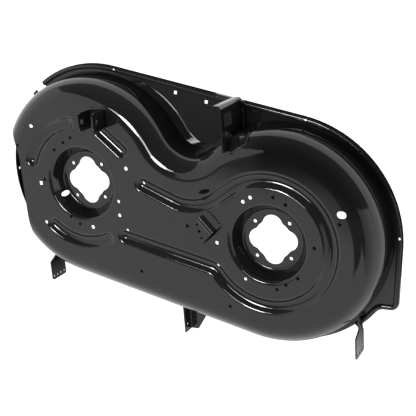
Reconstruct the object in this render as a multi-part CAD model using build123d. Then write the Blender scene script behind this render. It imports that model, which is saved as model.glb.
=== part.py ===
from build123d import *
import math
import os

# Twin-spindle lawn mower deck: one deep-drawn steel stamping with welded brackets.
# Millimetres. Origin on the discharge-side spindle seat, +Z up along the spindle,
# +X across the machine towards the far spindle, +Y to the rear.

# Stamping
SHEET = 2.3
SPINDLE_PITCH = 530.8
SPINDLE_STAGGER = 123.8
TOP_RISE = 38.0
RIM_DROP = 66.0
LOBE_R = 284.0
VALLEY_R = 73.0
SKIRT_DRAFT = 8.0
SHOULDER_R = 60.0

# Spindle pockets
SEAT_R = 80.0
POCKET_R = 100.0
POCKET_LIP_R = 12.0
SEAT_CORNER_R = 8.0
CLOVER_WAIST_R = 51.0
CLOVER_TIP_R = 65.0
CLOVER_LOBE_R = 27.0
CLOVER_BLEND_R = 14.0
BOLT_CIRCLE = 128.4
BOLT_HOLE_R = 4.6

# Stiffening grooves
GROOVE_RING_R = 164.0
GROOVE_HALF = 18.0
GROOVE_DEPTH = 10.5
GROOVE_LIP_R = 9.0
NECK_REAR_START = (190.0, 8.0)
NECK_REAR_LEAVE = 125.0
NECK_REAR_RUN = 117.0
NECK_REAR_BEND_R = 130.0
NECK_FRONT_OFFSET = 108.0
NECK_FRONT_START = 150.0
NECK_FRONT_BEND_R = 45.0
RING_REAR = (98.0, 159.0)
RING_FRONT = (-131.0, -67.0)
SLOT_START = (80.5, 145.0)
SLOT_END = (137.6, 95.3)

# Rim flange with its rolled bead
RIM_WIDTH = 21.0
BEAD_WIDTH = 14.0
BEAD_RISE = 7.0
BEAD_LEG = 8.0
BEAD_CROWN_R = 6.2
RIM_NEAR_END = 122.5
RIM_FAR_END = -51.0
CORNER_TURN = -3.9
CORNER_DROP = 181.0
CORNER_R = 20.0
CORNER_INNER_R = 25.0
FRONT_STUB_WIDTH = 12.0
FRONT_STUB_END = -80.0

# Discharge mouth on the near side
MOUTH_X = -197.0
MOUTH_FRONT = -170.0
MOUTH_REAR = 45.0
MOUTH_SWEEP_R = 170.0
MOUTH_SILL = -38.0
MOUTH_CORNER_R = 22.0
SILL_HOLE_Y = 6.0
SILL_HOLE_Z = -54.0
SILL_HOLE_R = 4.5

# Plain holes in the flat top: x and y from the spindle of each lobe, radius
NEAR_HOLES = [
    (-134.6, -118.9, 5.0),
    (21.4, -120.9, 5.5),
    (111.4, -80.9, 5.0),
    (112.9, -42.4, 4.5),
    (131.4, -120.9, 4.2),
    (146.4, 48.6, 5.5),
    (191.4, 10.6, 4.2),
]
FAR_HOLES = [
    (-136.9, -7.6, 5.0),
    (-140.9, -70.1, 4.5),
    (-64.4, -97.1, 4.2),
    (-58.4, 105.4, 5.0),
    (-38.4, 117.4, 5.0),
]
ADJUST_HOLE = (189.6, 90.4)
ADJUST_HOLE_LENGTH = 23.0
ADJUST_HOLE_WIDTH = 18.0
SQUARE_HOLE = (-134.6, -5.9)
SQUARE_HOLE_SIDE = 11.0
CARRIAGE_SLOT = (-142.6, 153.1)
CARRIAGE_SLOT_LENGTH = 13.0
CARRIAGE_SLOT_WIDTH = 9.0
DRAIN_HOLE = (-77.0, -39.5)
DRAIN_HOLE_R = 7.0

# Square holes in the rear plate: along from the middle of the neck, in from the rim's edge
PLATE_HOLES = [(-78.0, 25.4), (11.5, 28.5)]
PLATE_HOLE_SIDE = 9.0

# Small blind dimples in the flat top: x and y from the spindle of each lobe
NEAR_MARKS = [
    (-17.6, 125.1),
    (-42.6, 111.1),
    (-74.6, 90.1),
    (-197.6, 98.1),
    (-119.6, 5.1),
    (-47.6, -95.9),
    (-19.6, -114.9),
    (162.4, -233.9),
    (313.4, -92.9),
]
FAR_MARKS = [
    (21.6, 121.9),
    (52.6, 105.9),
    (120.6, 2.9),
    (75.6, -80.1),
    (43.6, -100.1),
    (19.6, -115.1),
    (-112.4, -178.1),
    (184.6, 66.9),
]
MARK_R = 3.2
MARK_DEPTH = 1.4

# Small holes in pairs, one through the skirt and one through the bead
PIP_R = 3.4
PIP_DROP = 48.0
PIP_NEAR = 75.0
PIP_FAR = (75.5, 1.6)

# Welded brackets
BRACKET_SHEET = 4.0
PAD_SHEET = 3.0

# Suspension clevis on the near lobe
CLEVIS_X = (54.0, 101.0)
CLEVIS_Y = (155.0, 202.0)
CLEVIS_RISE = 57.0
CLEVIS_BEND_R = 7.0
CLEVIS_CORNER_R = 12.0
CLEVIS_PIN_R = 6.5
CLEVIS_PIN_RISE = 43.0

# Tall suspension bracket standing in the rear valley: x from the far spindle, lengths from its rear
TALL_X = -92.8
TALL_PROUD = 8.0
TALL_DEPTH = 114.0
TALL_TOP = 54.0
TALL_FLANGE = 20.0
TALL_BEND_R = 10.0
TALL_WINDOW_WIDTH = 32.0
TALL_WINDOW_HEIGHT = 41.0
TALL_WINDOW_INSET = 37.5
TALL_WINDOW_Z = 17.5
TALL_HOLE_INSET = 71.0
TALL_HOLE_Z = 31.0
TALL_HOLE_R = 5.0
TALL_FOOT_X = 46.0
TALL_FOOT_Y = 38.0
TALL_FOOT_TOE = 16.0
TALL_FOOT_SLANT = 20.0

# Gauge wheel brackets at the two front corners: x from the spindle of each lobe, reach from the skirt
GAUGE_LOW = -74.0
GAUGE_HEIGHT = 64.0
GAUGE_HOLE_PITCH = 15.9
GAUGE_HOLE_R = 3.8
GAUGE_HOLE_INSET = 10.0
GAUGE_CORNER_R = 6.0
GAUGE_NEAR_X = -177.0
GAUGE_NEAR_REACH = 95.9
GAUGE_FAR_X = 203.2
GAUGE_FAR_REACH = 104.8
GAUGE_PLATE = 56.0
GAUGE_NECK = 28.0
GAUGE_NECK_Z = -52.0
GAUGE_PAD = 40.0

# Front hanger: x from the middle of the neck, reach from the skirt
HANGER_X = -25.4
HANGER_REACH = 85.4
HANGER_LOW = -66.0
HANGER_HEIGHT = 37.0
HANGER_TOE = 25.0
HANGER_HEEL = 50.0
HANGER_SLANT = 40.0
HANGER_BEND_R = 7.0
HANGER_HOLE_R = 5.0
HANGER_HOLE_INSET = 20.0
HANGER_HOLE_RISE = 23.0

# Cable saddle plate on the neck, its corner measured from the far spindle
SADDLE_CORNER = (-179.8, -14.2)
SADDLE_TURN = 42.7
SADDLE_WIDTH = 78.0
SADDLE_LENGTH = 52.0
SADDLE_SHEET = 2.5
SADDLE_RIB_AT = 49.0
SADDLE_RIB_R = 10.0
SADDLE_HOLES = [(28.7, 43.7, 3.2), (20.5, 27.3, 4.2), (12.3, 10.8, 3.2)]

# Deflector hinge lugs on the near rear skirt
LUG_TURNS = (130.0, 142.5)
LUG_WIDTH = 16.0
LUG_PROUD = 14.0
LUG_TOP = -58.0

# Places worked out from the driving dimensions
NEAR = Vector(0, 0)
FAR = Vector(SPINDLE_PITCH, -SPINDLE_STAGGER)
SPAN = (FAR - NEAR).length
LINE = math.degrees(math.atan2(-SPINDLE_STAGGER, SPINDLE_PITCH))
SKIRT_LOW = -RIM_DROP - SHEET
RIM_R = LOBE_R + RIM_WIDTH
POCKET_LEAN = math.atan2(POCKET_R - SEAT_R, TOP_RISE)


def toward(angle, distance):
    """Plan vector of a length at an angle in degrees."""
    return Vector(distance * math.cos(math.radians(angle)), distance * math.sin(math.radians(angle)))


def beside(x, reach):
    """Y at an X on the line that runs along the two spindles at a reach to the rear."""
    across = toward(LINE + 90, 1)
    return (reach - x * across.X) / across.Y


def skirt_front(spindle, offset):
    """Y of the skirt's foot in front of a spindle, at an X offset from it."""
    return spindle.Y - math.sqrt(LOBE_R ** 2 - offset ** 2)


def upright(sketch, low, high):
    """Straight prism of a plan sketch between two heights."""
    return extrude(Pos(0, 0, low) * sketch, amount=high - low)


def lobe_outline(inset):
    """Plan of the skirt foot: two lobes, a straight front and a rear valley."""
    lobe = LOBE_R - inset
    valley = VALLEY_R + inset
    reach = math.sqrt((lobe + valley) ** 2 - (SPAN / 2) ** 2)
    spread = math.degrees(math.atan2(reach, SPAN / 2))
    valley_at = toward(LINE, SPAN / 2) + toward(LINE + 90, reach)
    near_arc = CenterArc(NEAR, lobe, LINE + spread, 270 - spread)
    far_arc = CenterArc(FAR, lobe, LINE - 90, 270 - spread)
    valley_arc = CenterArc(valley_at, valley, LINE + 180 + spread, 180 - 2 * spread)
    front = Line(NEAR + toward(LINE - 90, lobe), FAR + toward(LINE - 90, lobe))
    return make_face([near_arc, valley_arc, far_arc, front])


def rim_outline(inset):
    """Plan of the rim: lobes, straight rear edge and the squared far front corner."""
    rim = RIM_R - inset
    side_at = FAR + toward(CORNER_TURN, rim)
    low = CORNER_DROP - inset
    run = (low + toward(CORNER_TURN, rim).Y) / math.cos(math.radians(CORNER_TURN))
    corner = side_at + toward(CORNER_TURN - 90, run)
    lobe_turn = -math.degrees(math.asin(low / rim))
    inner = FAR + toward(lobe_turn, rim)
    rear_turn = LINE + 90
    front_turn = LINE - 90
    outline = make_face([
        CenterArc(NEAR, rim, rear_turn, 180),
        Line(NEAR + toward(rear_turn, rim), FAR + toward(rear_turn, rim)),
        CenterArc(FAR, rim, CORNER_TURN, rear_turn - CORNER_TURN),
        Line(side_at, corner),
        Line(corner, inner),
        CenterArc(FAR, rim, front_turn, lobe_turn - front_turn),
        Line(NEAR + toward(front_turn, rim), FAR + toward(front_turn, rim)),
    ])
    outline = fillet(outline.vertices().sort_by_distance(corner)[0], CORNER_R - inset)
    return fillet(outline.vertices().sort_by_distance(inner)[0], CORNER_INNER_R + inset)


def channel(route, half, depth, inset):
    """Round-bottomed tool that sinks a groove of a depth along a route in the top."""
    radius = (half ** 2 + depth ** 2) / (2 * depth)
    level = TOP_RISE - depth + radius
    path = Pos(0, 0, level) * route
    start = Plane(origin=path @ 0, z_dir=path % 0)
    tool = sweep(start * Circle(radius + inset), path=path)
    for end in (path @ 0, path @ 1):
        tool += Pos(end) * Sphere(radius + inset)
    return tool


def neck_route():
    """Groove round the far spindle and along both sides of the neck."""
    leave = FAR + toward(NECK_REAR_LEAVE, GROOVE_RING_R)
    turn = leave + toward(NECK_REAR_LEAVE + 90, NECK_REAR_RUN)
    rear = FilletPolyline(Vector(*NECK_REAR_START), turn, leave, radius=NECK_REAR_BEND_R)
    bend_reach = GROOVE_RING_R + NECK_FRONT_BEND_R
    bend_drop = NECK_FRONT_OFFSET + NECK_FRONT_BEND_R
    bend_turn = LINE + 180 + math.degrees(math.asin(bend_drop / bend_reach))
    bend_at = FAR + toward(bend_turn, bend_reach)
    ring = CenterArc(FAR, GROOVE_RING_R, NECK_REAR_LEAVE, bend_turn - 360 - NECK_REAR_LEAVE)
    bend = CenterArc(bend_at, NECK_FRONT_BEND_R, bend_turn - 180, LINE + 270 - bend_turn)
    straight = Line(bend @ 1, toward(LINE, NECK_FRONT_START) + toward(LINE - 90, NECK_FRONT_OFFSET))
    return Wire(rear.edges() + [ring, bend, straight])


def ring_route(span):
    """Part of a groove ring round the near spindle, between two angles."""
    return Wire([CenterArc(NEAR, GROOVE_RING_R, span[0], span[1] - span[0])])


def slot_route():
    """Short straight groove that runs out from under the clevis."""
    return Wire([Line(SLOT_START, SLOT_END)])


def pocket_tool(inset):
    """Sunk cone with a flat floor that seats a spindle housing."""
    floor = -inset
    head = TOP_RISE + SHEET
    side = inset / math.cos(POCKET_LEAN)
    low_r = SEAT_R + side + floor * math.tan(POCKET_LEAN)
    high_r = SEAT_R + side + head * math.tan(POCKET_LEAN)
    lift = Align.CENTER, Align.CENTER, Align.MIN
    return Pos(0, 0, floor) * Cone(low_r, high_r, head - floor, align=lift)


def sunk_edges(body, wanted):
    """Edges where sunk features break the flat top: round pockets or grooves."""
    flat = body.faces().filter_by(Axis.Z).sort_by(Axis.Z)[-1]
    loops = [wire for wire in flat.inner_wires() if (len(wire.edges()) == 1) == (wanted == "pocket")]
    return ShapeList([edge for loop in loops for edge in loop.edges()])


def bowl(inset):
    """Skirt, shoulder and flat top, offset inwards by an inset from the outer skin."""
    outline = Pos(0, 0, SKIRT_LOW) * lobe_outline(inset / math.cos(math.radians(SKIRT_DRAFT)))
    body = extrude(outline, amount=TOP_RISE - inset - SKIRT_LOW, taper=SKIRT_DRAFT)
    return fillet(body.edges().group_by(Axis.Z)[-1], SHOULDER_R - inset)


def dome(inset):
    """The bowl with its grooves and spindle pockets pressed in, at the same offset."""
    body = bowl(inset)
    for route in (neck_route(), ring_route(RING_REAR), ring_route(RING_FRONT), slot_route()):
        body -= channel(route, GROOVE_HALF, GROOVE_DEPTH, inset)
    body = fillet(sunk_edges(body, "groove"), GROOVE_LIP_R - inset)
    for spindle in (NEAR, FAR):
        body -= Pos(spindle) * pocket_tool(inset)
    body = fillet(sunk_edges(body, "pocket"), POCKET_LIP_R - inset)
    seats = body.edges().filter_by(GeomType.CIRCLE).filter_by_position(Axis.Z, -inset, -inset)
    return fillet(seats, SEAT_CORNER_R + inset)


def rim():
    """Flat rim flange with a rolled bead along its edge, and the hollow inside the bead."""
    crest = -RIM_DROP + BEAD_RISE
    low = -RIM_DROP - BEAD_LEG
    bead = upright(rim_outline(0) - rim_outline(BEAD_WIDTH), low, crest)
    bead = fillet(bead.edges().group_by(Axis.Z)[-1], BEAD_CROWN_R)
    hollow = upright(rim_outline(SHEET) - rim_outline(BEAD_WIDTH - SHEET), low, crest - SHEET)
    hollow = fillet(hollow.edges().group_by(Axis.Z)[-1], BEAD_CROWN_R - SHEET)
    flange = upright(rim_outline(BEAD_WIDTH / 2), SKIRT_LOW, -RIM_DROP)
    beyond = 3 * RIM_R
    front_sector = make_face(Polyline(
        NEAR,
        NEAR + toward(RIM_NEAR_END, beyond),
        NEAR + toward(LINE + 180, 2 * beyond),
        NEAR + toward(LINE - 90, 2 * beyond),
        FAR + toward(RIM_FAR_END, 2 * beyond),
        FAR,
        close=True,
    ))
    open_front = upright(front_sector, 2 * low, 0)
    stub_r = LOBE_R + FRONT_STUB_WIDTH
    stub = make_face([
        CenterArc(FAR, stub_r, FRONT_STUB_END, RIM_FAR_END - FRONT_STUB_END),
        Line(FAR + toward(RIM_FAR_END, stub_r), FAR),
        Line(FAR, FAR + toward(FRONT_STUB_END, stub_r)),
    ])
    band = (flange + bead) - open_front + upright(stub, SKIRT_LOW, -RIM_DROP)
    return band, hollow - open_front


def clover():
    """Four-lobed opening that clears the spindle housing."""
    shape = Circle(CLOVER_WAIST_R)
    for turn in range(4):
        shape += Pos(toward(90 * turn, CLOVER_TIP_R - CLOVER_LOBE_R)) * Circle(CLOVER_LOBE_R)
    return fillet(shape.vertices(), CLOVER_BLEND_R)


def top_openings():
    """Openings pressed straight down through the top, seats and rim."""
    shape = Sketch()
    for spindle in (NEAR, FAR):
        shape += Pos(spindle) * clover()
        for turn in range(4):
            shape += Pos(spindle + toward(45 + 90 * turn, BOLT_CIRCLE / 2)) * Circle(BOLT_HOLE_R)
    for spindle, holes in ((NEAR, NEAR_HOLES), (FAR, FAR_HOLES)):
        for x, y, radius in holes:
            shape += Pos(spindle + Vector(x, y)) * Circle(radius)
    shape += Pos(FAR + Vector(*ADJUST_HOLE)) * SlotOverall(ADJUST_HOLE_LENGTH, ADJUST_HOLE_WIDTH)
    shape += Pos(*SQUARE_HOLE) * Rectangle(SQUARE_HOLE_SIDE, SQUARE_HOLE_SIDE)
    shape += Pos(*CARRIAGE_SLOT) * SlotOverall(CARRIAGE_SLOT_LENGTH, CARRIAGE_SLOT_WIDTH)
    shape += Pos(*DRAIN_HOLE) * Circle(DRAIN_HOLE_R)
    for along, inset in PLATE_HOLES:
        place = toward(LINE, SPAN / 2 + along) + toward(LINE + 90, RIM_R - inset)
        shape += Pos(place) * Rectangle(PLATE_HOLE_SIDE, PLATE_HOLE_SIDE, rotation=LINE)
    return shape


def mouth():
    """Side discharge cut: the roof's straight edge sweeps out at the rear, above a drilled sill."""
    reach = 2 * RIM_R
    middle = Pos(MOUTH_X - reach / 2, (MOUTH_FRONT + MOUTH_REAR) / 2)
    plan = middle * Rectangle(reach, MOUTH_REAR - MOUTH_FRONT)
    plan = fillet(plan.vertices().sort_by_distance((MOUTH_X, MOUTH_FRONT))[0], MOUTH_CORNER_R)
    plan += Pos(MOUTH_X - MOUTH_SWEEP_R, MOUTH_REAR) * Circle(MOUTH_SWEEP_R)
    sill_hole = Pos(-LOBE_R, SILL_HOLE_Y, SILL_HOLE_Z) * Rot(0, 90, 0) * Cylinder(SILL_HOLE_R, 2 * BEAD_WIDTH)
    return upright(plan, MOUTH_SILL, 2 * TOP_RISE) + sill_hole


def marks():
    """Small blind dimples punched into the flat top."""
    ball_r = (MARK_R ** 2 + MARK_DEPTH ** 2) / (2 * MARK_DEPTH)
    tool = Part()
    for spindle, places in ((NEAR, NEAR_MARKS), (FAR, FAR_MARKS)):
        for x, y in places:
            tool += Pos(spindle + Vector(x, y, TOP_RISE - MARK_DEPTH + ball_r)) * Sphere(ball_r)
    return tool


def pips():
    """Pairs of small holes through the skirt and the bead beside it."""
    tool = Part()
    places = [(NEAR, PIP_NEAR)] + [(FAR, turn) for turn in PIP_FAR]
    for spindle, turn in places:
        skirt_at = spindle + toward(turn, LOBE_R) + Vector(0, 0, -PIP_DROP)
        tool += Plane(skirt_at, z_dir=toward(turn, 1)) * Cylinder(PIP_R, BEAD_WIDTH)
        bead_at = spindle + toward(turn, RIM_R - BEAD_WIDTH / 2) + Vector(0, 0, -RIM_DROP)
        tool += Pos(bead_at) * Cylinder(PIP_R, 2 * BEAD_WIDTH)
    return tool


def side_plate(face_x, points):
    """Sheet in a fore-and-aft upright plane, drawn by its (y, z) corners."""
    outline = make_face(Plane.YZ * Polyline(*points, close=True))
    return Pos(face_x, 0, 0) * extrude(outline, amount=-BRACKET_SHEET)


def block(x, y, z):
    """Box between pairs of limits along each axis."""
    size = x[1] - x[0], y[1] - y[0], z[1] - z[0]
    return Pos((x[0] + x[1]) / 2, (y[0] + y[1]) / 2, (z[0] + z[1]) / 2) * Box(*size)


def cross_hole(x, y, z, radius):
    """Drill across the machine through an upright sheet."""
    return Pos(x, y, z) * Rot(0, 90, 0) * Cylinder(radius, 4 * BRACKET_SHEET)


def suspension_clevis():
    """Channel bent up into two eared sides for a suspension pin."""
    top = TOP_RISE + CLEVIS_RISE
    body = block(CLEVIS_X, CLEVIS_Y, (TOP_RISE, top))
    body = fillet(body.edges().filter_by(Axis.Y).group_by(Axis.Z)[0], CLEVIS_BEND_R)
    throat_x = CLEVIS_X[0] + BRACKET_SHEET, CLEVIS_X[1] - BRACKET_SHEET
    throat = block(throat_x, CLEVIS_Y, (TOP_RISE + BRACKET_SHEET, top))
    throat = fillet(throat.edges().filter_by(Axis.Y).group_by(Axis.Z)[0], CLEVIS_BEND_R - BRACKET_SHEET)
    body -= throat
    body = fillet(body.edges().filter_by(Axis.X).group_by(Axis.Z)[-1], CLEVIS_CORNER_R)
    for ear_x in CLEVIS_X:
        body -= cross_hole(ear_x, sum(CLEVIS_Y) / 2, TOP_RISE + CLEVIS_PIN_RISE, CLEVIS_PIN_R)
    return body


def tall_bracket():
    """Upright plate from the shoulder over the rim's edge, flanged at the rear and footed on the top."""
    face_x = FAR.X + TALL_X
    rear = beside(face_x, RIM_R) + TALL_PROUD
    front = rear - TALL_DEPTH
    body = block((face_x - TALL_FLANGE, face_x), (front, rear), (SKIRT_LOW, TALL_TOP))
    body = fillet(body.edges().filter_by(Axis.Z).sort_by_distance((face_x, rear, 0))[0], TALL_BEND_R)
    behind_x = face_x - 2 * TALL_FLANGE, face_x - BRACKET_SHEET
    behind = block(behind_x, (front, rear - BRACKET_SHEET), (SKIRT_LOW, TALL_TOP))
    inner_corner = (behind_x[1], rear - BRACKET_SHEET, 0)
    behind = fillet(behind.edges().filter_by(Axis.Z).sort_by_distance(inner_corner)[0], TALL_BEND_R - BRACKET_SHEET)
    body -= behind
    window_y = rear - TALL_WINDOW_INSET
    half_y = TALL_WINDOW_WIDTH / 2
    half_z = TALL_WINDOW_HEIGHT / 2
    body -= block(
        (face_x - 2 * BRACKET_SHEET, face_x + BRACKET_SHEET),
        (window_y - half_y, window_y + half_y),
        (TALL_WINDOW_Z - half_z, TALL_WINDOW_Z + half_z),
    )
    body -= cross_hole(face_x, rear - TALL_HOLE_INSET, TALL_HOLE_Z, TALL_HOLE_R)
    foot = make_face(Polyline(
        (face_x, front),
        (face_x + TALL_FOOT_TOE, front),
        (face_x + TALL_FOOT_X, front + TALL_FOOT_SLANT),
        (face_x + TALL_FOOT_X, front + TALL_FOOT_Y),
        (face_x, front + TALL_FOOT_Y),
        close=True,
    ))
    return body - outer_form + (upright(foot, SKIRT_LOW, TALL_TOP) & pad_form)


def gauge_holes(face_x, front):
    """Column of height-setting holes near the front edge of a gauge bracket."""
    tool = Part()
    first = GAUGE_LOW + (GAUGE_HEIGHT - 3 * GAUGE_HOLE_PITCH) / 2
    for step in range(4):
        tool += cross_hole(face_x, front + GAUGE_HOLE_INSET, first + step * GAUGE_HOLE_PITCH, GAUGE_HOLE_R)
    return tool


def gauge_bracket(spindle, offset, reach):
    """Gauge wheel plate that narrows to a neck and is padded on to the front skirt."""
    face_x = spindle.X + offset
    front = skirt_front(spindle, offset) - reach
    root = spindle.Y
    high = GAUGE_LOW + GAUGE_HEIGHT
    back = front + GAUGE_PLATE
    neck_low = GAUGE_NECK_Z - GAUGE_NECK / 2
    neck_high = GAUGE_NECK_Z + GAUGE_NECK / 2
    ramp = back + GAUGE_NECK / 2
    plate = side_plate(face_x, [
        (front, GAUGE_LOW),
        (back, GAUGE_LOW),
        (ramp, neck_low),
        (root, neck_low),
        (root, neck_high),
        (ramp, neck_high),
        (back, high),
        (front, high),
    ])
    tips = plate.edges().filter_by(Axis.X).group_by(Axis.Y)[0]
    plate = fillet(tips, GAUGE_CORNER_R) - gauge_holes(face_x, front)
    pad = block((face_x - GAUGE_PAD, face_x), (front, root), (neck_low, neck_high))
    return plate - outer_form + (pad & pad_form)


def front_hanger():
    """Angle with an upright pinned leaf and a level flange, welded to the front skirt."""
    leaf_x = FAR.X / 2 + HANGER_X
    front = beside(leaf_x, -LOBE_R) - HANGER_REACH
    root = FAR.Y
    flange = make_face(Polyline(
        (leaf_x, front),
        (leaf_x + HANGER_TOE, front),
        (leaf_x + HANGER_HEEL, front + HANGER_SLANT),
        (leaf_x + HANGER_HEEL, root),
        (leaf_x, root),
        close=True,
    ))
    body = upright(flange, HANGER_LOW, HANGER_LOW + HANGER_HEIGHT)
    body = fillet(body.edges().filter_by(Axis.Y).sort_by_distance((leaf_x, root, HANGER_LOW))[0], HANGER_BEND_R)
    inside_x = leaf_x + BRACKET_SHEET, leaf_x + 2 * HANGER_HEEL
    inside_z = HANGER_LOW + BRACKET_SHEET, HANGER_LOW + 2 * HANGER_HEIGHT
    inside = block(inside_x, (2 * front, -front), inside_z)
    inner_edge = inside.edges().filter_by(Axis.Y).sort_by_distance((inside_x[0], 0, inside_z[0]))[0]
    body -= fillet(inner_edge, HANGER_BEND_R - BRACKET_SHEET)
    hole_y = front + HANGER_HOLE_INSET
    body -= cross_hole(leaf_x, hole_y, HANGER_LOW + HANGER_HOLE_RISE, HANGER_HOLE_R)
    return body - outer_form


def saddle_plate():
    """Small plate with a half-round rib and three holes, spot welded flat on the neck."""
    size = SADDLE_WIDTH, SADDLE_LENGTH, SADDLE_SHEET
    body = Box(*size, align=Align.MIN)
    along = Pos(SADDLE_RIB_AT, SADDLE_LENGTH / 2, 0) * Rot(90, 0, 0)
    over = along * Cylinder(SADDLE_RIB_R + SADDLE_SHEET, SADDLE_LENGTH)
    under = along * Cylinder(SADDLE_RIB_R, SADDLE_LENGTH)
    body = split(body + over, bisect_by=Plane.XY) - under
    for along_width, along_length, radius in SADDLE_HOLES:
        body -= Pos(along_width, along_length, 0) * Cylinder(radius, 4 * SADDLE_SHEET)
    return Pos(FAR + Vector(*SADDLE_CORNER, TOP_RISE)) * Rot(0, 0, SADDLE_TURN) * body


def hinge_lugs():
    """Two flat lugs on the skirt that carry the deflector hinge rod."""
    tabs = Part()
    reach = LOBE_R + LUG_PROUD
    length = reach / 2
    for turn in LUG_TURNS:
        tab = Pos(reach - length / 2, 0, LUG_TOP - BRACKET_SHEET / 2) * Box(length, LUG_WIDTH, BRACKET_SHEET)
        tabs += Rot(0, 0, turn) * tab
    return tabs - outer_form


rim_band, bead_hollow = rim()
outer_form = dome(0) + rim_band
pad_form = bowl(-PAD_SHEET) - outer_form
deck_shell = outer_form - dome(SHEET) - bead_hollow
deck_shell -= upright(top_openings(), 2 * SKIRT_LOW, 2 * TOP_RISE)
deck_shell -= mouth() + pips() + marks()

nodes = {
    "deck_shell": deck_shell,
    "suspension_clevis": suspension_clevis(),
    "tall_suspension_bracket": tall_bracket(),
    "near_gauge_wheel_bracket": gauge_bracket(NEAR, GAUGE_NEAR_X, GAUGE_NEAR_REACH),
    "far_gauge_wheel_bracket": gauge_bracket(FAR, GAUGE_FAR_X, GAUGE_FAR_REACH),
    "front_hanger": front_hanger(),
    "saddle_plate": saddle_plate(),
    "deflector_hinge_lugs": hinge_lugs(),
}

os.makedirs("parts", exist_ok=True)
for name, shape in nodes.items():
    export_step(shape, f"parts/{name}.step")
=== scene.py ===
import math

import bpy
from mathutils import Matrix, Vector
from mathutils.bvhtree import BVHTree


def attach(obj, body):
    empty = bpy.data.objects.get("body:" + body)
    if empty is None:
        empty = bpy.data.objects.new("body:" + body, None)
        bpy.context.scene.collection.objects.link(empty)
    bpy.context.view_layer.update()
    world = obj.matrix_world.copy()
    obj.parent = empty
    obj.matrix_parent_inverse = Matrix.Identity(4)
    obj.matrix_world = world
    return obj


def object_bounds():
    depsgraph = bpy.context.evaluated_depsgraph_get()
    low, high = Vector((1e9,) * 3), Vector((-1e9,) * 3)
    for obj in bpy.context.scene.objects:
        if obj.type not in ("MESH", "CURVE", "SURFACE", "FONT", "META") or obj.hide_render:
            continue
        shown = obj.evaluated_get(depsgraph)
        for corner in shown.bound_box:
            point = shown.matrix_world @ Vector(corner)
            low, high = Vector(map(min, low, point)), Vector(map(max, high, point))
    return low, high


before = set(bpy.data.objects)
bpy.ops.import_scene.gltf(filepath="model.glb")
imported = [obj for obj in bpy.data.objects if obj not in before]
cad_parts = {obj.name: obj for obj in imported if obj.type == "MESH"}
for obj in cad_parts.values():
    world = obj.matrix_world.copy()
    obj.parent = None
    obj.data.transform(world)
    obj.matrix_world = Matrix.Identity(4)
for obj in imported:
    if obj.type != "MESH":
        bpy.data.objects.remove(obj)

cad_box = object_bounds()


# Deck shell: one deep-drawn steel stamping, about two millimetres thick, with sunk spindle
# seats and pressed grooves. It is powder coated in gloss black and baked to a hard skin that
# is nearly a mirror, with the faint ripple that powder leaves when it flows out.
CLOUD_SCALE = 14.0
CLOUD_DETAIL = 3.0
RIPPLE_SCALE = 260.0
RIPPLE_DETAIL = 2.0
SPECK_SCALE = 420.0
SPECK_EDGE = (0.05, 0.12)
CLOUD_TINT = 0.6
DUST_TINT = 0.25
CLOUD_DULLING = 0.03
DUST_DULLING = 0.05
DEEP_BLACK = (0.006, 0.006, 0.0065, 1.0)
PALE_BLACK = (0.016, 0.016, 0.0165, 1.0)
COAT_IOR = 1.5
SHELL_ROUGHNESS = 0.03
SHELL_RIPPLE = 0.000002


class Shade:
    """One socket of a shader tree: arithmetic on it adds Math nodes."""

    def __init__(self, tree, socket=None):
        self.tree = tree
        self.socket = socket

    def add(self, kind, settings=None, sockets=None, output=0):
        """A new node: its settings first, then values or links for its sockets."""
        node = self.tree.nodes.new(kind)
        for name, value in (settings or {}).items():
            setattr(node, name, value)
        for name, value in (sockets or {}).items():
            if isinstance(value, Shade):
                self.tree.links.new(value.socket, node.inputs[name])
            else:
                node.inputs[name].default_value = value
        return Shade(self.tree, node.outputs[output]) if node.outputs else node

    def maths(self, operation, *values):
        """Math node of an operation on this value and others."""
        sockets = dict(enumerate((self, *values)))
        return self.add("ShaderNodeMath", {"operation": operation}, sockets)

    def __add__(self, other):
        return self.maths("ADD", other)

    def __mul__(self, other):
        return self.maths("MULTIPLY", other)

    def __sub__(self, other):
        return self.maths("SUBTRACT", other)

    def __rsub__(self, other):
        return (self * -1) + other

    __radd__ = __add__
    __rmul__ = __mul__

    def ramp(self, low, high):
        """Smooth step from 0 at low to 1 at high."""
        sockets = {"Value": self, "From Min": low, "From Max": high}
        return self.add("ShaderNodeMapRange", {"interpolation_type": "SMOOTHSTEP"}, sockets)

    def past(self, edge, blur):
        """Smooth step up across an edge with a blur on each side."""
        return self.ramp(edge - blur, edge + blur)

    def axis(self, name):
        """One coordinate of a place or direction."""
        return self.add("ShaderNodeSeparateXYZ", {}, {"Vector": self}, output=name)

    def grey(self):
        """This value as a neutral colour."""
        return self.add("ShaderNodeCombineXYZ", {}, {"X": self, "Y": self, "Z": self})


def bare_material(name):
    """A material with an empty tree, and the tree to fill."""
    material = bpy.data.materials.new(name)
    material.use_nodes = True
    material.node_tree.nodes.clear()
    return material, Shade(material.node_tree)


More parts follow.
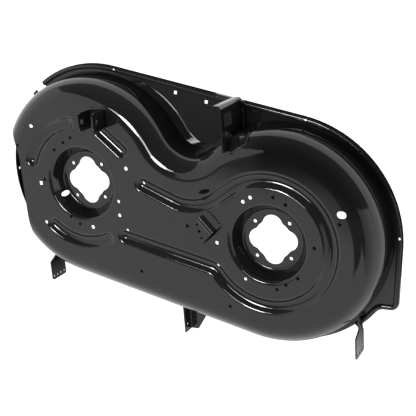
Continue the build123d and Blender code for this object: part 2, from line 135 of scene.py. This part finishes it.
def powder_coat(name, roughness, ripple_height):
    """Baked black powder with flow-out ripple, faint cloudiness and sparse dust."""
    coat, tree = bare_material(name)
    place = tree.add("ShaderNodeTexCoord", output="Object")
    cloud = tree.add("ShaderNodeTexNoise", {}, {
        "Vector": place, "Scale": CLOUD_SCALE, "Detail": CLOUD_DETAIL,
    })
    ripple = tree.add("ShaderNodeTexNoise", {}, {
        "Vector": place, "Scale": RIPPLE_SCALE, "Detail": RIPPLE_DETAIL,
    })
    specks = tree.add("ShaderNodeTexVoronoi", {}, {
        "Vector": place, "Scale": SPECK_SCALE,
    }, output="Distance")
    dust = 1 - specks.ramp(*SPECK_EDGE)
    tint = tree.add("ShaderNodeMix", {"data_type": "RGBA"}, {
        "Factor": cloud * CLOUD_TINT + dust * DUST_TINT,
        "A": DEEP_BLACK,
        "B": PALE_BLACK,
    }, output="Result")
    skin = tree.add("ShaderNodeBump", {}, {
        "Height": ripple, "Strength": 1.0, "Distance": ripple_height,
    })
    paint = tree.add("ShaderNodeBsdfPrincipled", {}, {
        "Base Color": tint,
        "Roughness": cloud * CLOUD_DULLING + dust * DUST_DULLING + roughness,
        "Normal": skin,
        "IOR": COAT_IOR,
    })
    tree.add("ShaderNodeOutputMaterial", {}, {"Surface": paint})
    return coat


def finish(node, coat):
    """One finish all over a CAD node."""
    node.data.materials.clear()
    node.data.materials.append(coat)


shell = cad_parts["deck_shell"]
shell_coat = powder_coat("shell_powder_coat", SHELL_ROUGHNESS, SHELL_RIPPLE)
finish(shell, shell_coat)

# Saddle plate: a small plate with a half-round rib that lies on the neck between the lobes.
# It is pressed from sheet about as thin as the shell's and welded down along one edge, and the
# powder flows out on it as smoothly as on the shell.
finish(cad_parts["saddle_plate"], shell_coat)

# Welded brackets: clevis, tall bracket, corner plates, hanger and lugs, cut and bent from
# thicker strip and welded on before the whole deck is coated, so their skin is a little duller.
BRACKET_ROUGHNESS = 0.08
BRACKET_RIPPLE = 0.000003
bracket_coat = powder_coat("bracket_powder_coat", BRACKET_ROUGHNESS, BRACKET_RIPPLE)
for name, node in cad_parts.items():
    if name not in ("deck_shell", "saddle_plate"):
        finish(node, bracket_coat)

# Weld beads: fillet welds run by hand along the edges of the brackets before coating, each a
# row of flattened puddles about six millimetres wide that overlap, coated with the rest. Each
# seam is a way to look at the shell and the corners of the bracket's edge seen that way.
WELD_STEP = 0.0045
WELD_REACH = 0.5
WELD_LIFT = 0.0006
BEAD_PITCH = 0.0017
BEAD_RADIUS = 0.0026
BEAD_ROUNDING = 2
BEAD_LEAST = (0.55, 1.0, 0.55)
BEAD_MOST = (0.75, 1.3, 0.8)
BEAD_SEED = 7
WELD_ROUGHNESS = 0.05
WELD_RIPPLE = 0.00001
DOWN = Vector((0.0, 0.0, -1.0))
REARWARD = Vector((0.0, 1.0, 0.0))
SEAMS = [
    (DOWN, [(0.060, 0.2036, 0.0), (0.095, 0.2036, 0.0)]),
    (DOWN, [(0.4396, 0.1445, 0.0), (0.4396, 0.196, 0.0)]),
    (DOWN, [(0.4324, 0.106, 0.0), (0.4324, 0.196, 0.0)]),
    (DOWN, [
        (0.4325, 0.1035, 0.0), (0.4545, 0.1035, 0.0),
        (0.4855, 0.1240, 0.0), (0.4855, 0.1445, 0.0),
    ]),
    (DOWN, [(0.4093, -0.0842, 0.0), (0.3790, -0.0514, 0.0)]),
    (REARWARD, [(-0.2184, 0.0, -0.064), (-0.2184, 0.0, -0.040)]),
    (REARWARD, [(-0.1754, 0.0, -0.064), (-0.1754, 0.0, -0.040)]),
    (REARWARD, [(0.6926, 0.0, -0.064), (0.6926, 0.0, -0.040)]),
    (REARWARD, [(0.7356, 0.0, -0.054), (0.7356, 0.0, -0.040)]),
    (REARWARD, [(0.2460, 0.0, -0.0602), (0.2880, 0.0, -0.0602)]),
    (REARWARD, [(0.2456, 0.0, -0.058), (0.2456, 0.0, -0.032)]),
]
shell_tree = BVHTree.FromPolygons(
    [vertex.co for vertex in shell.data.vertices],
    [face.vertices for face in shell.data.polygons],
)


def seam_points(way, corners):
    """Points on the shell along a bracket's edge, found by looking at it along a direction."""
    points = []
    for start, end in zip(map(Vector, corners), map(Vector, corners[1:])):
        steps = max(1, round((end - start).length / WELD_STEP))
        for step in range(steps + 1):
            place = start.lerp(end, step / steps)
            hit, normal, _, _ = shell_tree.ray_cast(place - way * WELD_REACH, way)
            points.append(hit + normal * WELD_LIFT)
    return points


class Growth:
    """A Geometry Nodes tree with named inputs, grown on a mesh and then made plain."""

    def __init__(self, name, sizes):
        self.tree = bpy.data.node_groups.new(name, "GeometryNodeTree")
        self.add_socket("Geometry", "INPUT", "NodeSocketGeometry")
        self.add_socket("Geometry", "OUTPUT", "NodeSocketGeometry")
        self.sizes = []
        for label, value in sizes.items():
            kind = "NodeSocketInt" if isinstance(value, int) else "NodeSocketFloat"
            self.sizes.append((self.add_socket(label, "INPUT", kind), value))
        self.given = self.tree.nodes.new("NodeGroupInput").outputs

    def add_socket(self, label, side, kind):
        """A named input or output of the tree."""
        return self.tree.interface.new_socket(label, in_out=side, socket_type=kind)

    def add(self, kind, settings=None, sockets=None, output=0):
        """A new node: its settings first, then values or links for its sockets."""
        node = self.tree.nodes.new(kind)
        for name, value in (settings or {}).items():
            setattr(node, name, value)
        for name, value in (sockets or {}).items():
            if isinstance(value, bpy.types.NodeSocket):
                self.tree.links.new(value, node.inputs[name])
            else:
                node.inputs[name].default_value = value
        return node.outputs[output] if node.outputs else node

    def grow(self, piece, geometry, coat):
        """Realize, coat and convert what has grown on a piece."""
        solid = self.add("GeometryNodeRealizeInstances", {}, {"Geometry": geometry})
        smooth = self.add("GeometryNodeSetShadeSmooth", {}, {"Geometry": solid})
        coated = self.add("GeometryNodeSetMaterial", {}, {"Geometry": smooth, "Material": coat})
        self.add("NodeGroupOutput", {}, {"Geometry": coated})
        growth = piece.modifiers.new(self.tree.name, "NODES")
        growth.node_group = self.tree
        for socket, value in self.sizes:
            growth[socket.identifier] = value
        grown = piece.evaluated_get(bpy.context.evaluated_depsgraph_get())
        mesh = bpy.data.meshes.new_from_object(grown)
        piece.modifiers.clear()
        piece.data = mesh
        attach(piece, "root")


def new_piece(name, points, edges=(), faces=()):
    """A plain mesh, or points and lines for something to grow on."""
    mesh = bpy.data.meshes.new(name)
    mesh.from_pydata(points, edges, faces)
    piece = bpy.data.objects.new(name, mesh)
    bpy.context.scene.collection.objects.link(piece)
    return piece


weld_points = []
weld_lines = []
for way, corners in SEAMS:
    run = seam_points(way, corners)
    first = len(weld_points)
    weld_points += run
    weld_lines += [(first + step, first + step + 1) for step in range(len(run) - 1)]
welds = new_piece("weld_beads", weld_points, weld_lines)
puddles = Growth("weld_puddles", {"Pitch": BEAD_PITCH, "Radius": BEAD_RADIUS, "Seed": BEAD_SEED})
runs = puddles.add("GeometryNodeMeshToCurve", {}, {"Mesh": puddles.given["Geometry"]})
spots = puddles.add("GeometryNodeResampleCurve", {"mode": "LENGTH"}, {
    "Curve": runs, "Length": puddles.given["Pitch"],
})
puddle = puddles.add("GeometryNodeMeshIcoSphere", {}, {
    "Radius": puddles.given["Radius"], "Subdivisions": BEAD_ROUNDING,
})
along_run = puddles.add("FunctionNodeAlignRotationToVector", {"axis": "X"}, {
    "Vector": puddles.add("GeometryNodeInputTangent"),
}, output="Rotation")
spread = puddles.add("FunctionNodeRandomValue", {"data_type": "FLOAT_VECTOR"}, {
    "Min": BEAD_LEAST, "Max": BEAD_MOST, "Seed": puddles.given["Seed"],
}, output="Value")
laid = puddles.add("GeometryNodeInstanceOnPoints", {}, {
    "Points": spots, "Instance": puddle, "Rotation": along_run, "Scale": spread,
}, output="Instances")
puddles.grow(welds, laid, powder_coat("weld_powder_coat", WELD_ROUGHNESS, WELD_RIPPLE))

# Dark marks: the punch marks in the flat top, the bottoms of the saddle's holes, a long mark
# on the neck and the open edge in front of the saddle. Each is painted shade: a flat near-black
# spot, less than half a millimetre over what it marks, that stands for the dark inside of a hole
# or slot, or for the shadow in the gap under the saddle's front edge.
MARK_RADIUS = 0.0045
MARK_TOP = 0.03803
SADDLE_TOP = 0.0384
MARK_SIDES = 32
NEAR_SPINDLE = Vector((0.0, 0.0))
FAR_SPINDLE = Vector((0.5308, -0.1238))
NEAR_MARKS = [
    (-0.0176, 0.1251), (-0.0426, 0.1111), (-0.0746, 0.0901), (-0.1976, 0.0981),
    (-0.1196, 0.0051), (-0.0476, -0.0959), (-0.0196, -0.1149), (0.1624, -0.2339),
    (0.3134, -0.0929),
]
FAR_MARKS = [
    (0.0216, 0.1219), (0.0526, 0.1059), (0.1206, 0.0029), (0.0756, -0.0801),
    (0.0436, -0.1001), (0.0196, -0.1151), (-0.1124, -0.1781), (0.1846, 0.0669),
]
SADDLE_HOLES = [
    (0.34245, -0.08642, 0.0030), (0.34755, -0.10403, 0.0040), (0.3527, -0.1217, 0.0030),
]
# The second long mark is a painted shadow: the gap under the saddle plate's front edge.
LONG_MARKS = [
    ((0.3695, 0.0015, 0.03805), (0.0158, 0.0056), math.radians(15.6)),
    ((0.3834, -0.1116, 0.03805), (0.0380, 0.0027), math.radians(42.6)),
]
GRAIN_SCALE = 900.0
GRAIN_DETAIL = 2.0
GRAIN_DULLING = 0.2
MARK_ROUGHNESS = 0.75
MARK_SHEEN = 0.05
SHADE_MARK_BLACK = (0.001, 0.001, 0.001, 1.0)
SHADE_MARK_GREY = (0.004, 0.004, 0.004, 1.0)
# Painted shade: near-black, rough and with little sheen, so that the marks read dark from every
# side.
hole_shade, hole_shade_tree = bare_material("painted_hole_shade")
hole_shade_place = hole_shade_tree.add("ShaderNodeTexCoord", output="Object")
grain = hole_shade_tree.add("ShaderNodeTexNoise", {}, {
    "Vector": hole_shade_place, "Scale": GRAIN_SCALE, "Detail": GRAIN_DETAIL,
})
hole_shade_tint = hole_shade_tree.add("ShaderNodeMix", {"data_type": "RGBA"}, {
    "Factor": grain, "A": SHADE_MARK_BLACK, "B": SHADE_MARK_GREY,
}, output="Result")
hole_shade_skin = hole_shade_tree.add("ShaderNodeBsdfPrincipled", {}, {
    "Base Color": hole_shade_tint,
    "Roughness": grain * GRAIN_DULLING + MARK_ROUGHNESS,
    "Specular IOR Level": MARK_SHEEN,
})
hole_shade_tree.add("ShaderNodeOutputMaterial", {}, {"Surface": hole_shade_skin})
marks = [
    ((spindle.x + x, spindle.y + y, MARK_TOP), (MARK_RADIUS, MARK_RADIUS), 0.0)
    for spindle, places in ((NEAR_SPINDLE, NEAR_MARKS), (FAR_SPINDLE, FAR_MARKS))
    for x, y in places
]
marks += [((x, y, SADDLE_TOP), (radius, radius), 0.0) for x, y, radius in SADDLE_HOLES]
marks += LONG_MARKS
pits = new_piece("painted_shade_marks", [place for place, reach, turn in marks])
reaches = [size for place, reach, turn in marks for size in (*reach, 1.0)]
turns = [turn for place, reach, turn in marks]
pits.data.attributes.new("reach", "FLOAT_VECTOR", "POINT").data.foreach_set("vector", reaches)
pits.data.attributes.new("turn", "FLOAT", "POINT").data.foreach_set("value", turns)
bottoms = Growth("pit_bottoms", {"Sides": MARK_SIDES})
bottom = bottoms.add("GeometryNodeMeshCircle", {"fill_type": "TRIANGLE_FAN"}, {
    "Vertices": bottoms.given["Sides"], "Radius": 1.0,
})
mark_reach = bottoms.add("GeometryNodeInputNamedAttribute", {"data_type": "FLOAT_VECTOR"}, {
    "Name": "reach",
}, output="Attribute")
mark_turn = bottoms.add("GeometryNodeInputNamedAttribute", {"data_type": "FLOAT"}, {
    "Name": "turn",
}, output="Attribute")
lean = bottoms.add("FunctionNodeEulerToRotation", {}, {
    "Euler": bottoms.add("ShaderNodeCombineXYZ", {}, {"Z": mark_turn}),
})
pitted = bottoms.add("GeometryNodeInstanceOnPoints", {}, {
    "Points": bottoms.given["Geometry"], "Instance": bottom,
    "Rotation": lean, "Scale": mark_reach,
}, output="Instances")
bottoms.grow(pits, pitted, hole_shade)

# Floor: a white paper sweep that ends behind the deck, in front of a dim room. It is dark in
# the deck's own shade and close to the rim, apart from the gap in the edge card, and light
# that falls through the openings leaves white spots in the shade under the deck.
SWEEP_WHITE = 1.4
SWEEP_REACH = 40.0
SWEEP_EDGE = 0.95
SWEEP_EDGE_TURN = math.radians(75)
SWEEP_EDGE_BLUR = 0.02
FLOOR_CLEARANCE = 0.0005
ROOM_DIM = 0.27
UNDER_DECK = 0.03
DECK_SHADE = (0.24, 0.38)
SHADE_FORWARD = 0.06
RIM_SHADE = (0.314, 0.320)
CARD_GAP = (0.56, 0.70)
CARD_GAP_BLUR = 0.015
UNDERSIDE = (0.272, 0.285)
SPOT_FADE = 1.4
LIT_SPOTS = [
    (-0.054, -0.024, 0.087), (-0.227, -0.163, 0.009), (-0.061, -0.166, 0.009),
    (0.035, -0.123, 0.009), (0.036, -0.082, 0.008), (0.056, -0.166, 0.008),
    (0.072, 0.015, 0.009), (0.120, -0.026, 0.008), (-0.227, -0.043, 0.012),
    (-0.236, 0.126, 0.011), (-0.146, -0.070, 0.014), (0.499, -0.153, 0.087),
    (0.336, -0.177, 0.009), (0.331, -0.243, 0.008), (0.413, -0.272, 0.008),
    (0.419, -0.056, 0.009), (0.441, -0.044, 0.009), (0.683, -0.072, 0.016),
    (0.248, 0.2265, 0.011), (0.335, 0.203, 0.011),
]


def distance(x, y):
    """Length of a step on the floor."""
    return (x * x + y * y).maths("SQRT")


sweep, ground = bare_material("white_sweep")
spot = ground.add("ShaderNodeTexCoord", output="Object")
spot_x = spot.axis("X")
spot_y = spot.axis("Y")
line = FAR_SPINDLE / FAR_SPINDLE.length_squared
along = (spot_x * line.x + spot_y * line.y).maths("MAXIMUM", 0.0).maths("MINIMUM", 1.0)
aside_x = spot_x - along * FAR_SPINDLE.x
aside_y = spot_y - along * FAR_SPINDLE.y
aside = distance(aside_x, aside_y)
card_gap = along.past(CARD_GAP[0], CARD_GAP_BLUR) * (1 - along.past(CARD_GAP[1], CARD_GAP_BLUR))
clear_of_rim = aside.ramp(*RIM_SHADE).maths("MAXIMUM", card_gap)
clear_of_deck = distance(aside_x, aside_y + SHADE_FORWARD).ramp(*DECK_SHADE)
outside = clear_of_deck * clear_of_rim
rearward = spot_x * math.cos(SWEEP_EDGE_TURN) + spot_y * math.sin(SWEEP_EDGE_TURN)
beyond = rearward.past(SWEEP_EDGE, SWEEP_EDGE_BLUR)
lit = outside * (1 - beyond) * SWEEP_WHITE
level = lit + outside * beyond * ROOM_DIM + (1 - outside) * UNDER_DECK
shaded = 1 - aside.ramp(*UNDERSIDE)
for x, y, reach in LIT_SPOTS:
    shaded = shaded * distance(spot_x - x, spot_y - y).ramp(reach, SPOT_FADE * reach)
seen = ground.add("ShaderNodeLightPath", output="Is Camera Ray")
level = level.maths("MAXIMUM", seen * (1 - shaded) * SWEEP_WHITE)
glow = ground.add("ShaderNodeEmission", {}, {"Color": level.grey(), "Strength": 1.0})
ground.add("ShaderNodeOutputMaterial", {}, {"Surface": glow})
floor_level = cad_box[0].z - FLOOR_CLEARANCE
floor_corners = [
    (-SWEEP_REACH, -SWEEP_REACH, floor_level), (SWEEP_REACH, -SWEEP_REACH, floor_level),
    (SWEEP_REACH, SWEEP_REACH, floor_level), (-SWEEP_REACH, SWEEP_REACH, floor_level),
]
floor = new_piece("floor", floor_corners, faces=[(0, 1, 2, 3)])
floor.data.materials.append(sweep)

# Walls: an evenly lit wall that the level top mirrors, lower and dimmer towards one end, and
# a second one beside it that fades as it rises. The rest of the room is dim and its ceiling
# nearly black. All of them are soft light on plain white, and the camera sees only white.
WALL_LIGHT = 1.09
WALL_FACING = math.radians(-132)
WALL_TOP = math.sin(math.radians(64.5))
LOW_WALL_TOP = math.sin(math.radians(55.5))
LOW_WALL_START = (math.radians(-176), math.radians(-168))
LOW_WALL_END = (math.radians(-165), math.radians(-135))
LOW_WALL_LIGHT = 0.27
WALL_BLUR = 0.015
SIDE_FACING = math.radians(-77)
SIDE_TOP = math.sin(math.radians(52))
SIDE_BLUR = 0.02
SIDE_LIGHT = 1.5
SIDE_FADE = 1.2
WALL_ENDS = (-0.02, 0.04)
CEILING_FADE = 0.19
world = bpy.data.worlds.new("studio")
world.use_nodes = True
world.node_tree.nodes.clear()
bpy.context.scene.world = world
room = Shade(world.node_tree)
toward = room.add("ShaderNodeTexCoord", output="Generated")
east = toward.axis("X")
north = toward.axis("Y")
height = toward.axis("Z")
turn_round = north.maths("ARCTAN2", east)


def facing(angle):
    """Where a direction faces a wall that stands at an angle round the part."""
    return (east * math.cos(angle) + north * math.sin(angle)).ramp(*WALL_ENDS)


low_part = turn_round.ramp(*LOW_WALL_START) * (1 - turn_round.ramp(*LOW_WALL_END))
raised = height + low_part * (WALL_TOP - LOW_WALL_TOP)
wall = facing(WALL_FACING) * (1 - raised.past(WALL_TOP, WALL_BLUR)) * WALL_LIGHT
side_light = (SIDE_LIGHT - height * SIDE_FADE).maths("MINIMUM", SWEEP_WHITE)
side = facing(SIDE_FACING) * (1 - height.past(SIDE_TOP, SIDE_BLUR)) * side_light
low_wall = low_part * (1 - height.past(WALL_TOP, WALL_BLUR)) * LOW_WALL_LIGHT
dim = (ROOM_DIM - height * CEILING_FADE).maths("MAXIMUM", low_wall)
light = wall.maths("MAXIMUM", side).maths("MAXIMUM", dim)
seen = room.add("ShaderNodeLightPath", output="Is Camera Ray")
light = light.maths("MAXIMUM", seen * SWEEP_WHITE)
sky = room.add("ShaderNodeBackground", {}, {"Color": light.grey(), "Strength": 1.0})
room.add("ShaderNodeOutputWorld", {}, {"Surface": sky})

# Lights: an oval softbox overhead, behind the deck, that draws the white lines along the
# bends, and a longer and dimmer strip across it that draws their tapering ends.
LIGHT_AIM = Vector((0.25, 0.0, 0.0))
LIGHT_TURN = math.radians(150)
SOFTBOX_AT = Vector((-0.32, 1.03, 4.0))
SOFTBOX_SIZE = (1.0, 0.95)
SOFTBOX_RADIANCE = 30.0
STRIP_AT = Vector((-0.12, 0.90, 4.0))
STRIP_SIZE = (2.3, 0.6)
STRIP_RADIANCE = 14.0


def level_way(turn):
    """Level direction at an angle round the part."""
    return Vector((math.cos(turn), math.sin(turn), 0.0))


def frame_at(place, right, up, back):
    """Where an object stands and how it is turned."""
    return Matrix.Translation(place) @ Matrix((right, up, back)).transposed().to_4x4()


def studio_light(name, place, size, radiance):
    """Oval light of an even brightness, aimed at the deck."""
    lamp = bpy.data.lights.new(name, "AREA")
    lamp.shape = "ELLIPSE"
    lamp.size, lamp.size_y = size
    lamp.energy = radiance * math.pi * math.pi * size[0] * size[1] / 4
    back = (place - LIGHT_AIM).normalized()
    across = back.cross(level_way(LIGHT_TURN)).normalized()
    stand = bpy.data.objects.new(name, lamp)
    stand.matrix_world = frame_at(place, across.cross(back), across, back)
    bpy.context.scene.collection.objects.link(stand)


studio_light("softbox", SOFTBOX_AT, SOFTBOX_SIZE, SOFTBOX_RADIANCE)
studio_light("strip", STRIP_AT, STRIP_SIZE, STRIP_RADIANCE)

# Flag: a curved piece of dark grey cloth that hangs over the far lobe's rear shoulder, out of
# the camera's sight, and keeps the softbox's line off that shoulder.
FLAG_RADII = (0.222, 0.31)
FLAG_TURNS = [math.radians(turn) for turn in range(28, 101, 6)]
FLAG_Z = 0.15
CLOTH_GREY = (0.09, 0.09, 0.09, 1.0)


def round_spindle(spindle, radius, turn, z):
    """A point round a spindle, at a height."""
    place = spindle.to_3d() + radius * level_way(turn)
    return place.x, place.y, z


def strip_faces(first, pairs):
    """Faces of a strip whose points come in pairs, from a first point on."""
    starts = range(first, first + 2 * (pairs - 1), 2)
    return [(start, start + 1, start + 3, start + 2) for start in starts]


cloth, cloth_tree = bare_material("flag_cloth")
cloth_glow = cloth_tree.add("ShaderNodeEmission", {}, {"Color": CLOTH_GREY, "Strength": 1.0})
cloth_tree.add("ShaderNodeOutputMaterial", {}, {"Surface": cloth_glow})
flag_points = [
    round_spindle(FAR_SPINDLE, radius, turn, FLAG_Z) for turn in FLAG_TURNS for radius in FLAG_RADII
]
flag = new_piece("flag", flag_points, faces=strip_faces(0, len(FLAG_TURNS)))
flag.data.materials.append(cloth)
flag.visible_camera = False

# Edge card: a low strip of the same dark cloth on card, stood on the floor round the rear of
# the rim, out of the camera's sight, so that the rolled bead has a black edge. It is open
# behind the tall bracket, whose flange mirrors the white floor there.
CARD_REACH = 0.317
CARD_TOP = -0.0615
CARD_SIDE = 0.17
CARD_STEP = 4
CARD_START = 124
SIDE_TURN = -3.9
REAR_TURN = math.degrees(math.atan2(FAR_SPINDLE.y, FAR_SPINDLE.x)) + 90


def card_arc(spindle, first, last):
    """Points round a spindle, just outside the rim."""
    count = math.ceil(abs(last - first) / CARD_STEP)
    turns = [math.radians(first + (last - first) * step / count) for step in range(count + 1)]
    return [Vector(round_spindle(spindle, CARD_REACH, turn, floor_level)) for turn in turns]


near_card = card_arc(NEAR_SPINDLE, CARD_START, REAR_TURN)
far_card = card_arc(FAR_SPINDLE, REAR_TURN, SIDE_TURN)
gap_ends = [near_card[-1].lerp(far_card[0], share) for share in CARD_GAP]
far_card.append(far_card[-1] + CARD_SIDE * level_way(math.radians(SIDE_TURN - 90)))
card_points = []
card_faces = []
for card_line in (near_card + gap_ends[:1], gap_ends[1:] + far_card):
    card_faces += strip_faces(len(card_points), len(card_line))
    for foot in card_line:
        card_points += [foot, (foot.x, foot.y, CARD_TOP)]
card = new_piece("edge_card", card_points, faces=card_faces)
card.data.materials.append(cloth)
card.visible_camera = False

# Camera: a long lens above and behind the far lobe, looking down along the length of the deck,
# with all of it in focus.
CAMERA_SENSOR = 36.0
CAMERA_LENS = 71.41
CAMERA_AT = Vector((1.2904, 0.5667, 1.7689))
CAMERA_LOOK = Vector((-0.4459, -0.2964, -0.8446)).normalized()
CAMERA_UP = Vector((-0.0694, 0.9522, -0.2975))
camera_data = bpy.data.cameras.new("camera")
camera_data.sensor_width = CAMERA_SENSOR
camera_data.lens = CAMERA_LENS
camera = bpy.data.objects.new("camera", camera_data)
right = CAMERA_LOOK.cross(CAMERA_UP).normalized()
camera.matrix_world = frame_at(CAMERA_AT, right, right.cross(CAMERA_LOOK), -CAMERA_LOOK)
bpy.context.scene.collection.objects.link(camera)
bpy.context.scene.camera = camera
bpy.context.scene.view_settings.view_transform = "Standard"
